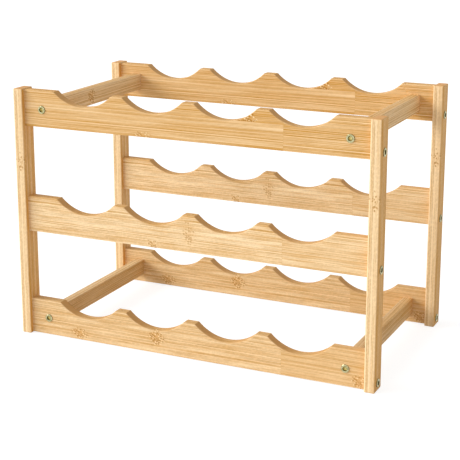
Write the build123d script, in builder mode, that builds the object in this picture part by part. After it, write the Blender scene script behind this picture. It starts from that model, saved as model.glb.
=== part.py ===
"""Wine rack in laminated bamboo: two ladder frames joined by four cross bars.

Each frame is two upright posts with three rails between them. Every rail is scalloped along its
top edge, so a bottle lies front to back in one scallop of the front frame and one of the back
frame. The rails butt against the posts, held by one screw and one dowel at each end. The cross
bars butt against the inner faces of the top and bottom rails, held by one screw at each end.

Units are millimetres. +X runs to the right along the rails, +Y to the back along the bottles,
+Z up. The origin is the middle of the footprint, at the level of the feet.
"""
from build123d import *
import os

os.makedirs("parts", exist_ok=True)

# ---------------------------------------------------------------- driving dimensions: the rack
rack_width = 430.0  # over the outer faces of the posts
rack_depth = 238.0  # over the front faces of the front posts and the back faces of the back ones
board_thickness = 11.5  # one stock: posts' width, rails' thickness and cross bars' width
post_depth = 21.5  # a post's size from front to back
foot_gap = 1.0  # from the feet up to the lower edge of the bottom rails
top_step = 1.0  # from the upper edge of the top rails up to the tops of the posts
edge_radius = 1.0  # rounding of the long edges of every board

# ---------------------------------------------------------------- driving dimensions: the rails
rail_height = 41.0
rail_pitch = 122.0  # from one level of rails to the next
scallop_radius = 51.0
scallop_depth = 15.0
scallop_pitch = 86.0
scallop_count = 4
tip_radius = 0.6  # easing of the crest where a scallop meets the flat beside it

# ---------------------------------------------------------------- driving dimensions: the bars
bar_height = 20.0
bar_inset = 22.3  # from a post's inner face to the middle of a bar
bar_rise = 19.5  # from a rail's lower edge to the middle of a bar

# ---------------------------------------------------------------- driving dimensions: fasteners
screw_length = 40.0  # below the head's seat
shank_diameter = 5.0
head_diameter = 9.0
head_height = 1.0  # how far the flat head stands proud of the wood
head_bevel = 0.3
socket_size = 4.0  # hexagon across its flats
socket_depth = 2.6
tip_length = 3.0
tip_diameter = 2.0
post_screw_rise = 7.5  # from a rail's lower edge to the screw through the post
dowel_diameter = 6.0
dowel_grip = 17.0  # how far a dowel reaches into a rail
dowel_cover = 3.5  # wood left between a dowel's end and the post's outer face
dowel_drop = 11.5  # from a rail's upper edge down to the dowel
dowel_chamfer = 0.6

# ---------------------------------------------------------------- clearances
shank_clearance = 0.05  # around a screw's shank, and under its countersunk head
dowel_clearance = 0.05  # around a dowel
hole_end_gap = 1.0  # beyond the tip of a screw
dowel_end_gap = 0.5  # beyond each end of a dowel

# ---------------------------------------------------------------- places that follow from them
LEVELS = ("bottom", "middle", "top")
BAR_LEVELS = ("bottom", "top")
SIDES = {"left": -1, "right": 1}
FRAMES = {"front": -1, "back": 1}

post_height = foot_gap + (len(LEVELS) - 1) * rail_pitch + rail_height + top_step
post_x = (rack_width - board_thickness) / 2
frame_y = (rack_depth - post_depth) / 2
inner_x = rack_width / 2 - board_thickness  # a post's inner face, where the rails end
bar_x = inner_x - bar_inset
bar_end_y = frame_y - board_thickness / 2  # a rail's inner face, where the bars end
rail_foot = {level: foot_gap + step * rail_pitch for step, level in enumerate(LEVELS)}

head_radius = head_diameter / 2
shank_radius = shank_diameter / 2
cone_depth = head_radius - shank_radius  # the head's underside is a right-angled cone
screw_hole_radius = shank_radius + shank_clearance
screw_grip = screw_length - board_thickness  # how far a screw reaches into the second board
dowel_hole_radius = dowel_diameter / 2 + dowel_clearance
dowel_bite = board_thickness - dowel_cover  # how far a dowel reaches into a post
dowel_rise = rail_height - dowel_drop


def export(piece, label):
    """Label a finished piece and write it to its own STEP file."""
    piece.part.label = label
    export_step(piece.part, f"parts/{label}.step")


# ---------------------------------------------------------------- posts
for frame, toward_y in FRAMES.items():
    for side, toward_x in SIDES.items():
        outward = (toward_x, 0, 0)
        inward = (-toward_x, 0, 0)
        outer_face = toward_x * rack_width / 2
        inner_face = toward_x * inner_x
        y = toward_y * frame_y
        with BuildPart() as post:
            with BuildSketch(Plane.XY):
                with Locations((toward_x * post_x, y)):
                    Rectangle(board_thickness, post_depth)
            extrude(amount=post_height)
            fillet(post.edges(), radius=edge_radius)
            for foot in rail_foot.values():
                screw_z = foot + post_screw_rise
                with Locations(Plane(origin=(outer_face, y, screw_z), z_dir=outward)):
                    CounterSinkHole(
                        radius=screw_hole_radius,
                        counter_sink_radius=head_radius + shank_clearance,
                        depth=board_thickness,
                        counter_sink_angle=90,
                    )
                with Locations(Plane(origin=(inner_face, y, foot + dowel_rise), z_dir=inward)):
                    Hole(radius=dowel_hole_radius, depth=dowel_bite + dowel_end_gap)
        export(post, f"{frame}_{side}_post")

# ---------------------------------------------------------------- scalloped rails
scallop_rise = scallop_radius - scallop_depth  # from a rail's upper edge up to a scallop's centre

for frame, toward_y in FRAMES.items():
    y = toward_y * frame_y
    for level, foot in rail_foot.items():
        with BuildPart() as rail:
            with BuildSketch(Plane.XZ.offset(-y)) as outline:
                with Locations((0, foot + rail_height / 2)):
                    Rectangle(2 * inner_x, rail_height)
                with Locations((0, foot + rail_height + scallop_rise)):
                    with GridLocations(scallop_pitch, 1, scallop_count, 1):
                        Circle(scallop_radius, mode=Mode.SUBTRACT)
            extrude(amount=board_thickness / 2, both=True)
            crests = rail.edges().filter_by(Axis.Y).group_by(Axis.Z)[-1].sort_by(Axis.X)[1:-1]
            fillet(crests, radius=tip_radius)
            front_edges = rail.faces().sort_by(Axis.Y)[0].edges()
            back_edges = rail.faces().sort_by(Axis.Y)[-1].edges()
            end_edges = rail.faces().filter_by(Axis.X).edges()
            fillet([edge for edge in front_edges + back_edges if edge not in end_edges], edge_radius)
            for toward_x in SIDES.values():
                outward = (toward_x, 0, 0)
                end = toward_x * inner_x
                with Locations(Plane(origin=(end, y, foot + post_screw_rise), z_dir=outward)):
                    Hole(radius=screw_hole_radius, depth=screw_grip + hole_end_gap)
                with Locations(Plane(origin=(end, y, foot + dowel_rise), z_dir=outward)):
                    Hole(radius=dowel_hole_radius, depth=dowel_grip + dowel_end_gap)
            if level in BAR_LEVELS:
                away = (0, toward_y, 0)
                face_y = y + toward_y * board_thickness / 2
                for toward_x in SIDES.values():
                    place = (toward_x * bar_x, face_y, foot + bar_rise)
                    with Locations(Plane(origin=place, z_dir=away)):
                        CounterSinkHole(
                            radius=screw_hole_radius,
                            counter_sink_radius=head_radius + shank_clearance,
                            depth=board_thickness,
                            counter_sink_angle=90,
                        )
        export(rail, f"{frame}_{level}_rail")

# ---------------------------------------------------------------- cross bars
for level in BAR_LEVELS:
    bar_z = rail_foot[level] + bar_rise
    for side, toward_x in SIDES.items():
        x = toward_x * bar_x
        with BuildPart() as bar:
            with BuildSketch(Plane.XZ):
                with Locations((x, bar_z)):
                    RectangleRounded(board_thickness, bar_height, edge_radius)
            extrude(amount=bar_end_y, both=True)
            for toward_y in FRAMES.values():
                end = Plane(origin=(x, toward_y * bar_end_y, bar_z), z_dir=(0, toward_y, 0))
                with Locations(end):
                    Hole(radius=screw_hole_radius, depth=screw_grip + hole_end_gap)
        export(bar, f"{level}_{side}_cross_bar")

# ---------------------------------------------------------------- one screw, one dowel
with BuildPart() as screw:
    with BuildSketch(Plane.XZ):
        with BuildLine():
            Polyline(
                (0, head_height),
                (head_radius - head_bevel, head_height),
                (head_radius, head_height - head_bevel),
                (head_radius, 0),
                (shank_radius, -cone_depth),
                (shank_radius, tip_length - screw_length),
                (tip_diameter / 2, -screw_length),
                (0, -screw_length),
                close=True,
            )
        make_face()
    revolve(axis=Axis.Z)
    with BuildSketch(Plane.XY.offset(head_height)):
        RegularPolygon(radius=socket_size / 2, side_count=6, major_radius=False)
    extrude(amount=-socket_depth, mode=Mode.SUBTRACT)

with BuildPart() as dowel:
    with BuildSketch(Plane.XY.offset(-dowel_grip)):
        Circle(dowel_diameter / 2)
    extrude(amount=dowel_grip + dowel_bite)
    chamfer(dowel.edges(), length=dowel_chamfer)

# ---------------------------------------------------------------- fasteners, one group per board
for frame, toward_y in FRAMES.items():
    y = toward_y * frame_y
    for side, toward_x in SIDES.items():
        outward = (toward_x, 0, 0)
        with BuildPart() as post_screws:
            for foot in rail_foot.values():
                place = (toward_x * rack_width / 2, y, foot + post_screw_rise)
                with Locations(Plane(origin=place, z_dir=outward)):
                    add(screw.part)
        export(post_screws, f"{frame}_{side}_post_screws")
        with BuildPart() as dowels:
            for foot in rail_foot.values():
                place = (toward_x * inner_x, y, foot + dowel_rise)
                with Locations(Plane(origin=place, z_dir=outward)):
                    add(dowel.part)
        export(dowels, f"{frame}_{side}_dowels")
    face_y = y + toward_y * board_thickness / 2
    for level in BAR_LEVELS:
        with BuildPart() as bar_screws:
            for toward_x in SIDES.values():
                place = (toward_x * bar_x, face_y, rail_foot[level] + bar_rise)
                with Locations(Plane(origin=place, z_dir=(0, toward_y, 0))):
                    add(screw.part)
        export(bar_screws, f"{frame}_{level}_bar_screws")
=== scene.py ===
"""Looks of the bamboo wine rack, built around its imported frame.

The rack is two ladder frames of laminated bamboo, front and back, joined by four cross bars. Each
board is remade here as a mesh with its own rounded arrises, scallops and drilled holes, and gets a
laminated bamboo finish that follows its grain. Zinc-plated socket screws and fluted dowels hold it.

Lengths are metres, as in the frame: +X along the rails, +Y along the bottles, +Z up.
"""
from __future__ import annotations

import logging
import math
from contextlib import contextmanager
from dataclasses import dataclass, field
from enum import Enum
from functools import lru_cache
from itertools import product
from typing import Iterable, Iterator, Sequence, Union

import bmesh
import bpy
from bmesh.types import BMEdge, BMesh, BMFace, BMVert
from bpy.types import Material, Mesh, Node, NodeSocket, NodeTree, Object
from mathutils import Matrix, Vector


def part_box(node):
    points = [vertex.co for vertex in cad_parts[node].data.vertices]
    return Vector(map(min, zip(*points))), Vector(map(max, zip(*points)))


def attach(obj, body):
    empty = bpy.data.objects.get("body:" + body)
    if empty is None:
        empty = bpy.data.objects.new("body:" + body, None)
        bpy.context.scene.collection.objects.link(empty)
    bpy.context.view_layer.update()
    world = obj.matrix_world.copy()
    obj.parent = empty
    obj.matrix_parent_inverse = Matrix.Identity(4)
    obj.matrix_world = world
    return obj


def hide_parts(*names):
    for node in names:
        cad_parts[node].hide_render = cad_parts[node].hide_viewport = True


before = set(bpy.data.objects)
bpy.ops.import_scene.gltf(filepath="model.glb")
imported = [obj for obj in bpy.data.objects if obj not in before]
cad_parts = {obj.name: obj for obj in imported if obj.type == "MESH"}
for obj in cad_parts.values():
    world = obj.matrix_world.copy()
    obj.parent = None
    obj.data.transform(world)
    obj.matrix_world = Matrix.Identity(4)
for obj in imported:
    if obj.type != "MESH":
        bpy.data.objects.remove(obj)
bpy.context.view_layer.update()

log = logging.getLogger("wine_rack")

MM = 0.001
NEAR = 0.001 * MM
MERGED = 0.0001 * MM
BODY = "root"
NOISE_SPAN = (0.3, 0.7)  # most of a noise's values are between these
Colour = tuple[float, float, float]
Feed = Union[NodeSocket, float, Sequence[float]]


def srgb(red: float, green: float, blue: float) -> Colour:
    """Turns a display colour, 0 to 255, into the linear colour that shaders use.

    Args:
        red: the display red.
        green: the display green.
        blue: the display blue.

    Returns:
        The linear red, green and blue, 0 to 1.
    """

    def channel(value: float) -> float:
        """Linear value of one display channel."""
        part = value / 255
        return part / 12.92 if part <= 0.04045 else ((part + 0.055) / 1.055) ** 2.4

    return channel(red), channel(green), channel(blue)


class Level(Enum):
    """The rows of rails, from the feet up."""

    BOTTOM = "bottom"
    MIDDLE = "middle"
    TOP = "top"


BAR_LEVELS = (Level.BOTTOM, Level.TOP)


class Way(Enum):
    """One of two opposite sides: its word in the nodes' names and its sign along an axis."""

    @property
    def word(self) -> str:
        """The side's name, as the nodes use it."""
        return self.value[0]

    @property
    def toward(self) -> int:
        """-1 for the left or the front, 1 for the right or the back."""
        return self.value[1]


class Side(Way):
    """Left and right, along X."""

    LEFT = ("left", -1)
    RIGHT = ("right", 1)


class Face(Way):
    """The front and back frames, along Y."""

    FRONT = ("front", -1)
    BACK = ("back", 1)


class Grain(Enum):
    """How a board lies: the axes along its grain, across its strips and through its plies."""

    RAIL = ("X", "Z", "Y")
    CROSS_BAR = ("Y", "Z", "X")
    POST = ("Z", "Y", "X")


# ------------------------------------------------------------------------------ shader graphs
@dataclass
class Graph:
    """A node tree with short ways to add nodes and feed their sockets."""

    tree: NodeTree  # the material's or the group's node tree

    def feed(self, socket: NodeSocket, value: Feed) -> None:
        """Joins a socket to another one, or sets its value.

        Args:
            socket: the input socket.
            value: an output socket, a number, or a vector or colour.
        """
        if isinstance(value, NodeSocket):
            self.tree.links.new(value, socket)
        elif isinstance(value, (int, float)):
            socket.default_value = value
        else:
            socket.default_value = (*value, 1.0)[:len(socket.default_value)]

    def fill(self, node: Node, feeds: dict[str | int, Feed]) -> Node:
        """Feeds a node's inputs, by number or by name with _ for a space, and gives it back.

        Args:
            node: the node.
            feeds: what goes into its inputs.

        Returns:
            The node.
        """
        for name, value in feeds.items():
            key = name.replace("_", " ") if isinstance(name, str) else name
            self.feed(node.inputs[key], value)
        return node

    def add(self, kind: str, feeds: dict[str | int, Feed] | None = None,
            **settings: object) -> Node:
        """Adds one node.

        Args:
            kind: the node's type, without the words ShaderNode.
            feeds: what goes into its inputs, by their name or number.
            settings: the node's own properties.

        Returns:
            The node.
        """
        node = self.tree.nodes.new(f"ShaderNode{kind}")
        for name, value in settings.items():
            setattr(node, name, value)
        return self.fill(node, feeds or {})

    def math(self, operation: str, *values: Feed) -> NodeSocket:
        """One step of arithmetic on numbers."""
        return self.add("Math", dict(enumerate(values)), operation=operation).outputs[0]

    def vector(self, operation: str, *values: Feed, **feeds: Feed) -> NodeSocket:
        """One step of arithmetic on vectors, which gives a number for LENGTH."""
        node = self.add("VectorMath", {**dict(enumerate(values)), **feeds}, operation=operation)
        return node.outputs["Value" if operation == "LENGTH" else "Vector"]

    def ramp_up(self, value: Feed, low: float, high: float,
                onto: tuple[float, float] = (0.0, 1.0)) -> NodeSocket:
        """Maps a value smoothly from low and high onto two others, and holds it past them."""
        feeds = dict(Value=value, From_Min=low, From_Max=high, To_Min=onto[0], To_Max=onto[1])
        return self.add("MapRange", feeds, interpolation_type="SMOOTHSTEP").outputs["Result"]

    def mix(self, factor: Feed, first: Feed, second: Feed) -> NodeSocket:
        """Blends two colours, from all of the first where the factor is 0 to the second at 1."""
        colours = {0: factor, 6: first, 7: second}  # the inputs that a mix of colours shows
        return self.add("Mix", colours, data_type="RGBA", clamp_factor=False).outputs[2]

    def noise(self, place: Feed, scale: float = 1.0, detail: float = 2.0,
              roughness: float = 0.5) -> NodeSocket:
        """Smooth noise, about 0 to 1, with finer layers of some strength."""
        feeds = dict(Vector=place, Scale=scale, Detail=detail, Roughness=roughness)
        return self.add("TexNoise", feeds).outputs[0]

    def mask(self, name: str) -> NodeSocket:
        """A mask that the mesh holds as an attribute."""
        return self.add("Attribute", attribute_name=name).outputs["Fac"]

    def split(self, vector: Feed) -> tuple[NodeSocket, ...]:
        """The three numbers of a vector."""
        return tuple(self.add("SeparateXYZ", {0: vector}).outputs)

    def join(self, x: Feed, y: Feed, z: Feed) -> NodeSocket:
        """A vector of three numbers."""
        return self.add("CombineXYZ", {0: x, 1: y, 2: z}).outputs[0]

    def use(self, group: NodeTree, **feeds: Feed) -> Node:
        """Places a node group, with what goes into its inputs."""
        return self.fill(self.add("Group", node_tree=group), feeds)


class Surface(Graph):
    """The node tree of a new material, around its Principled BSDF.

    Attributes:
        material: the material.
        shader: its Principled BSDF.
    """

    def __init__(self, name: str) -> None:
        """Starts the material.

        Args:
            name: its name.
        """
        self.material = bpy.data.materials.new(name)
        self.material.use_nodes = True
        super().__init__(self.material.node_tree)
        self.shader = self.tree.nodes["Principled BSDF"]

    def coat(self, **feeds: Feed) -> None:
        """Feeds the shader's own sockets, with _ for a space in a name."""
        self.fill(self.shader, feeds)

    def emboss(self, height: Feed, strength: float, distance: float) -> None:
        """Lets relief show that is some distance high where the height is 1."""
        bump = self.add("Bump", dict(Height=height, Strength=strength, Distance=distance))
        self.coat(Normal=bump.outputs["Normal"])


def new_group(name: str, inputs: dict[str, str], outputs: dict[str, str]
              ) -> tuple[Graph, Sequence[NodeSocket], Node]:
    """Starts a shader node group with named sockets.

    Args:
        name: the group's name.
        inputs: each input's name and kind, Vector, Float or Color.
        outputs: each output's name and kind.

    Returns:
        The group's graph, the sockets that its inputs come from, and its output node.
    """
    tree = bpy.data.node_groups.new(name, "ShaderNodeTree")
    for sockets, way in ((inputs, "INPUT"), (outputs, "OUTPUT")):
        for socket, kind in sockets.items():
            tree.interface.new_socket(socket, in_out=way, socket_type=f"NodeSocket{kind}")
    start, end = tree.nodes.new("NodeGroupInput"), tree.nodes.new("NodeGroupOutput")
    return Graph(tree), start.outputs, end


class Effects:
    """The shader node groups that more than one finish uses, each built once."""

    def __init__(self) -> None:
        """Builds every group."""
        self.laminate = self._laminate()
        self.fibres = self._fibres()
        self.node_mark = self._node_mark()

    @staticmethod
    def _laminate() -> NodeTree:
        """Strips and plies of a glued-up board, each with grain of its own.

        Returns:
            The group. Strip Colour and Strip Tone are a random colour and value for each strip, and
            Glue Line is a mask of the joints between strips.
        """
        glue_half_width = 0.09 * MM
        glue_fade = 0.22 * MM
        g, given, end = new_group(
            "laminate",
            {"Place": "Vector", "Strip Height": "Float", "Strips": "Float",
             "Ply Thickness": "Float", "Butt Joint": "Float", "Seed": "Float"},
            {"Strip Colour": "Color", "Strip Tone": "Float", "Glue Line": "Float"})
        along, across, through = g.split(given["Place"])
        strips = g.math("DIVIDE", across, given["Strip Height"])
        plies = g.math("DIVIDE", through, given["Ply Thickness"])
        past_joint = g.math("GREATER_THAN", along, given["Butt Joint"])
        batch = g.math("ADD", past_joint, given["Seed"])
        key = g.join(g.math("FLOOR", strips), g.math("FLOOR", plies), batch)
        dice = g.add("TexWhiteNoise", {"Vector": key}, noise_dimensions="3D")
        edges = g.math("MULTIPLY", g.math("PINGPONG", strips, 0.5), given["Strip Height"])
        rim = g.math("MINIMUM", strips, g.math("SUBTRACT", given["Strips"], strips))
        between = g.math("MULTIPLY", g.ramp_up(edges, glue_half_width, glue_fade, (1.0, 0.0)),
                         g.math("GREATER_THAN", rim, 0.5))
        joint = g.math("ABSOLUTE", g.math("SUBTRACT", along, given["Butt Joint"]))
        butt = g.ramp_up(joint, glue_half_width, glue_fade, (1.0, 0.0))
        g.fill(end, dict(Strip_Colour=dice.outputs["Color"], Strip_Tone=dice.outputs["Value"],
                         Glue_Line=g.math("MAXIMUM", between, butt)))
        return g.tree

    @staticmethod
    def _fibres() -> NodeTree:
        """Streaks that run along the grain, wander a little across it and come and go.

        Returns:
            The group. Value is about 0 to 1, with its middle at one half.
        """
        wave_length = 0.16
        slant = 0.8
        strongest = 1.7
        cloudiness = 0.55
        patch_width = 3.5
        slower_across = (1.0, 0.5, 0.5)
        g, given, end = new_group(
            "fibres",
            {"Place": "Vector", "Streak Length": "Float", "Streak Width": "Float",
             "Wander": "Float"},
            {"Value": "Float"})
        place = given["Place"]
        width = given["Streak Width"]
        _, across, through = g.split(place)
        sway = g.noise(g.vector("MULTIPLY", place, slower_across), 1 / wave_length, 1.0)
        offset = g.math("MULTIPLY", g.math("SUBTRACT", sway, 0.5), given["Wander"])
        aside = g.math("ADD", g.math("MULTIPLY_ADD", through, slant, across), offset)
        wide = g.math("MULTIPLY", width, patch_width)
        patch = g.join(given["Streak Length"], wide, wide)
        fade = g.noise(g.vector("DIVIDE", place, patch))
        line = g.math("ADD", g.math("DIVIDE", aside, width), fade)
        streak = g.add("TexNoise", {"W": line, "Scale": 1.0, "Detail": 1.5, "Roughness": 0.5},
                       noise_dimensions="1D").outputs[0]
        swell = g.ramp_up(fade, *NOISE_SPAN, (2 - strongest, strongest))
        value = g.math("MULTIPLY_ADD", g.math("SUBTRACT", streak, 0.5), swell, 0.5)
        cloud = g.math("MULTIPLY", g.math("SUBTRACT", fade, 0.5), cloudiness)
        g.feed(end.inputs["Value"], g.math("ADD", value, cloud))
        return g.tree

    @staticmethod
    def _node_mark() -> NodeTree:
        """The mark that a joint of the bamboo cane leaves: a ragged patch of dark and pale flecks.

        Returns:
            The group. Patch is the soft patch, Dark Flecks and Pale Flecks the specks in it.
        """
        fleck_size = (2.9 * MM, 1.7 * MM, 1.7 * MM)
        lump_size = (5 * MM, 2.4 * MM, 5 * MM)
        pale_shift = (0.55, 0.5, 0.0)
        dark_radius, pale_radius = 0.62, 0.55
        fading = (0.3, 1.1)
        crowding = 1.4
        g, given, end = new_group(
            "node_mark",
            {"Place": "Vector", "Centre": "Vector", "Reach": "Vector", "Floor": "Float",
             "Density": "Float"},
            {"Patch": "Float", "Dark Flecks": "Float", "Pale Flecks": "Float"})
        place = given["Place"]
        away = g.vector("SUBTRACT", place, given["Centre"])
        share = g.vector("DIVIDE", away, given["Reach"])
        ragged = g.noise(g.vector("DIVIDE", away, lump_size))
        distance = g.math("ADD", g.vector("LENGTH", share), g.math("SUBTRACT", ragged, 0.5))
        above = g.math("GREATER_THAN", g.split(place)[1], given["Floor"])
        patch = g.math("MULTIPLY", g.ramp_up(distance, *fading, (1.0, 0.0)), above)
        spots = g.vector("DIVIDE", away, fleck_size)
        fill = g.math("MULTIPLY", g.math("MULTIPLY", patch, crowding), given["Density"])
        shifted = g.vector("ADD", spots, pale_shift)
        for name, where, radius in (("Dark Flecks", spots, dark_radius),
                                    ("Pale Flecks", shifted, pale_radius)):
            cells = g.add("TexVoronoi", {"Vector": where, "Scale": 1.0}).outputs
            fleck = g.ramp_up(cells["Distance"], radius / 2, radius, (1.0, 0.0))
            present = g.math("LESS_THAN", g.split(cells["Color"])[0], fill)
            g.feed(end.inputs[name], g.math("MULTIPLY", g.math("MULTIPLY", fleck, present), above))
        g.feed(end.inputs["Patch"], patch)
        return g.tree


# ------------------------------------------------------------------------------ finishes
@dataclass(frozen=True)
class NodeMark:
    """Where a bamboo node shows on a board."""

    # its middle, along, across and through the board from its low corner
    centre: tuple[float, float, float]
    reach: tuple[float, float, float]  # how far it spreads each way
    strength: float = 1.0  # how much its flecks stand out, 0 to 1
    floor: float = -1.0  # it stays above this, across the board, where its strip ends
    patch: float = 0.3  # how much it darkens the wood around the flecks
    density: float = 1.0  # how full of flecks its middle is, 0 to 1


@dataclass(frozen=True)
class Shade:
    """A stretch of some strips that is darker or paler than the rest."""

    along: tuple[float, float]  # where it starts and ends along the board
    across: tuple[float, float]  # where it starts and ends across the board
    tone: float  # how much darker it is
    fade: float = 6 * MM  # how gradually it starts and ends


@dataclass(frozen=True)
class Streaks:
    """One layer of streaks along the grain."""

    length: float  # how long they are
    width: float  # how wide they are
    wander: float  # how far they stray sideways
    tones: tuple[float, float]  # how much they lighten and darken the wood
    # the part of the noise that is stretched over those tones
    range: tuple[float, float] = (0.25, 0.75)
    greys: float = 0.0  # the share of them that dulls the colour and leaves its hue


FIGURE = Streaks(80 * MM, 4.5 * MM, 2 * MM, (-0.16, 0.16))
BANDS = Streaks(100 * MM, 2.0 * MM, 1.5 * MM, (-0.13, 0.13))
FIBRES = Streaks(75 * MM, 1.1 * MM, 1 * MM, (-0.38, 0.38), greys=0.3)
VESSELS = Streaks(60 * MM, 0.6 * MM, 1 * MM, (0.0, 0.4), (0.55, 0.7), 0.5)
PORES = Streaks(5 * MM, 0.6 * MM, 0.5 * MM, (-0.3, 0.3), greys=0.7)


@dataclass(frozen=True)
class Bamboo:
    """Satin lacquered bamboo, glued up from strips."""

    name: str  # the finish's name
    pale: Colour = srgb(250, 219, 173)  # colour of the pale fibres
    honey: Colour = srgb(215, 160, 82)  # colour of the darker fibres
    end_grain: Colour = srgb(211, 152, 84)  # colour of the cut ends
    stain: Colour = srgb(214, 154, 70)  # colour of the patch round a node
    fleck: Colour = srgb(182, 124, 44)  # colour of the dark specks of a node
    fleck_pale: Colour = srgb(255, 228, 180)  # colour of its pale specks
    # colour of the walls of the scallops: the strips cut across, darkened further with painted
    # shade
    hollow: Colour = srgb(208, 157, 93)
    back_edge_shade: Colour = srgb(160, 108, 48)  # painted shade on their back edge
    strips: int = 3  # how many strips make the board's height
    plies: int = 3  # how many plies make its thickness
    depth: float = 1.0  # how strongly the fine streaks show
    gain_past_joint: float = 1.0  # how much stronger all streaks are past the butt joint
    cloud: float = 0.5  # how strongly the broad figure shows
    run: float = 1.0  # how long the streaks run, as a share of the usual
    dashes: float = 1.0  # how strongly the short dashes show, beside the fine streaks
    # how dark each strip is before the butt joint, from the lowest strip up
    tones: tuple[float, ...] = (0.5, 0.5, 0.5)
    tones_past_joint: tuple[float, ...] = (0.5, 0.5, 0.5)  # the same, past the butt joint
    narrow_face_tone: float = 0.55  # how dark the board's narrow faces are
    narrow_face_light: float = 0.93  # how light they are beside the broad ones, 1 for the same
    # how much darker the side that lay near the cane's skin is than the other
    skin_tone: float = 0.0
    lightness: float = 1.0  # how light the whole board is, 1 for usual
    butt_joint: float = 10.0  # how far along the board its strips are joined end to end
    seed: float = 0.0  # picks the grain
    marks: tuple[NodeMark, ...] = ()  # the bamboo nodes that show
    shades: tuple[Shade, ...] = ()  # stretches of strips with a tone of their own
    # how far apart the strips are cut from the same grain
    strip_shift: tuple[float, float, float] = (0.9, 0.31, 0.47)
    strip_spread: float = 0.16  # how much the strips' tones differ by chance
    grey_share: float = 0.5  # how far grey streaks dull the colour
    tone_limits: tuple[float, float] = (-0.2, 1.35)  # the palest and the darkest tone
    glue: float = 0.35  # how strongly the glue lines show
    pale_flecks: float = 0.9  # how strongly a node's pale flecks show beside its dark ones
    end_cover: float = 0.85  # how fully the cut ends hide the grain
    arris_highlight: float = 0.15  # how much paler the rounded edges are: a painted highlight
    hollow_cover: float = 0.9  # how fully the scallops' walls, with their painted shade, hide the grain
    sheen: float = 0.15  # how strongly the coat mirrors
    roughness: tuple[float, float] = (0.6, 0.5)  # of the palest and the darkest bands
    band_range: tuple[float, float] = (-0.1, 0.1)  # the bands' tones that get those
    relief: float = 0.3  # how much of the grain's relief shows
    relief_height: float = 0.08 * MM  # how high the relief is

    def strip_tone(self, g: Graph, share: Feed, tones: Sequence[float]) -> NodeSocket:
        """A tone for each strip, in steps.

        Args:
            g: the graph to add to.
            share: how far up the board's height, 0 to 1.
            tones: the tones, from the lowest strip up.

        Returns:
            The tone's socket.
        """
        ramp = g.add("ValToRGB", {"Fac": share})
        ramp.color_ramp.interpolation = "CONSTANT"
        stops = ramp.color_ramp.elements
        while len(stops) < len(tones):
            stops.new(1.0)
        for number, tone in enumerate(tones):
            stops[number].position = number / len(tones)
            stops[number].color = (tone, tone, tone, 1.0)
        return ramp.outputs["Color"]

    def shaded(self, g: Graph, tone: Feed, along: Feed, across: Feed) -> NodeSocket:
        """Darkens or lightens the stretches that have a tone of their own.

        Args:
            g: the graph to add to.
            tone: the tone so far.
            along: how far along the board.
            across: how far across it.

        Returns:
            The tone's socket.
        """
        for shade in self.shades:
            start, stop = shade.along
            begun = g.ramp_up(along, start - shade.fade, start + shade.fade)
            ended = g.ramp_up(along, stop - shade.fade, stop + shade.fade)
            low, high = shade.across
            band = g.math("SUBTRACT", g.math("GREATER_THAN", across, low),
                          g.math("GREATER_THAN", across, high))
            inside = g.math("MULTIPLY", g.math("SUBTRACT", begun, ended), band)
            tone = g.math("MULTIPLY_ADD", inside, shade.tone, tone)
        return tone

    def material(self, effects: Effects, board: Board) -> Material:
        """Makes the finish for one board.

        Args:
            effects: the shared node groups.
            board: the board that it goes on.

        Returns:
            The material.
        """
        g = Surface(f"{self.name}.{board.node}")
        height, thickness = board.size_by_grain[1:]
        here = g.add("TexCoord").outputs["Object"]
        corner = g.add("Mapping", {"Vector": here, "Location": tuple(-board.low)}).outputs[0]
        by_axis = dict(zip("XYZ", g.split(corner)))
        along, across, through = (by_axis[axis] for axis in board.grain.value)
        place = g.join(along, across, through)
        laminate = g.use(effects.laminate, Place=place, Strip_Height=height / self.strips,
                         Strips=float(self.strips), Ply_Thickness=thickness / self.plies,
                         Butt_Joint=self.butt_joint, Seed=self.seed).outputs
        shift = g.vector("MULTIPLY", laminate["Strip Colour"], self.strip_shift)
        grain = g.vector("ADD", place, shift)

        share = g.math("DIVIDE", across, height)
        before = self.strip_tone(g, share, self.tones)
        after = self.strip_tone(g, share, self.tones_past_joint)
        past = g.math("GREATER_THAN", along, self.butt_joint)
        tone = g.math("MULTIPLY_ADD", g.math("SUBTRACT", after, before), past, before)
        tone = self.shaded(g, tone, along, across)
        skinward = g.math("MULTIPLY_ADD", through, 1 / thickness, -0.5)
        tone = g.math("MULTIPLY_ADD", skinward, self.skin_tone, tone)
        narrow = g.mask("narrow_face")
        tone = g.math("MULTIPLY_ADD", g.math("SUBTRACT", self.narrow_face_tone, tone), narrow, tone)
        layers: dict[Streaks, NodeSocket] = {}
        gain = g.math("MULTIPLY_ADD", past, self.gain_past_joint - 1, 1.0)
        grey = g.math("MULTIPLY_ADD", narrow, self.narrow_face_light - 1, self.lightness)
        for streaks, strength in ((FIGURE, self.cloud), (BANDS, self.depth), (FIBRES, self.depth),
                                  (VESSELS, self.depth), (PORES, self.depth * self.dashes)):
            noise = g.use(effects.fibres, Place=grain, Streak_Length=streaks.length * self.run,
                          Streak_Width=streaks.width, Wander=streaks.wander).outputs["Value"]
            onto = tuple(tone * strength for tone in streaks.tones)
            layers[streaks] = g.math("MULTIPLY", g.ramp_up(noise, *streaks.range, onto), gain)
            tone = g.math("MULTIPLY_ADD", layers[streaks], 1 - streaks.greys, tone)
            dulling = -self.grey_share * streaks.greys
            grey = g.math("MULTIPLY_ADD", layers[streaks], dulling, grey)
        lift = g.math("SUBTRACT", laminate["Strip Tone"], 0.5)
        tone = g.math("MULTIPLY_ADD", lift, self.strip_spread, tone)
        palest, darkest = self.tone_limits
        tone = g.math("MAXIMUM", g.math("MINIMUM", tone, darkest), palest)
        colour = g.mix(tone, self.pale, self.honey)
        glue = g.math("MULTIPLY", laminate["Glue Line"], self.glue)
        colour = g.vector("SCALE", g.mix(glue, colour, self.honey), Scale=grey)

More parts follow.
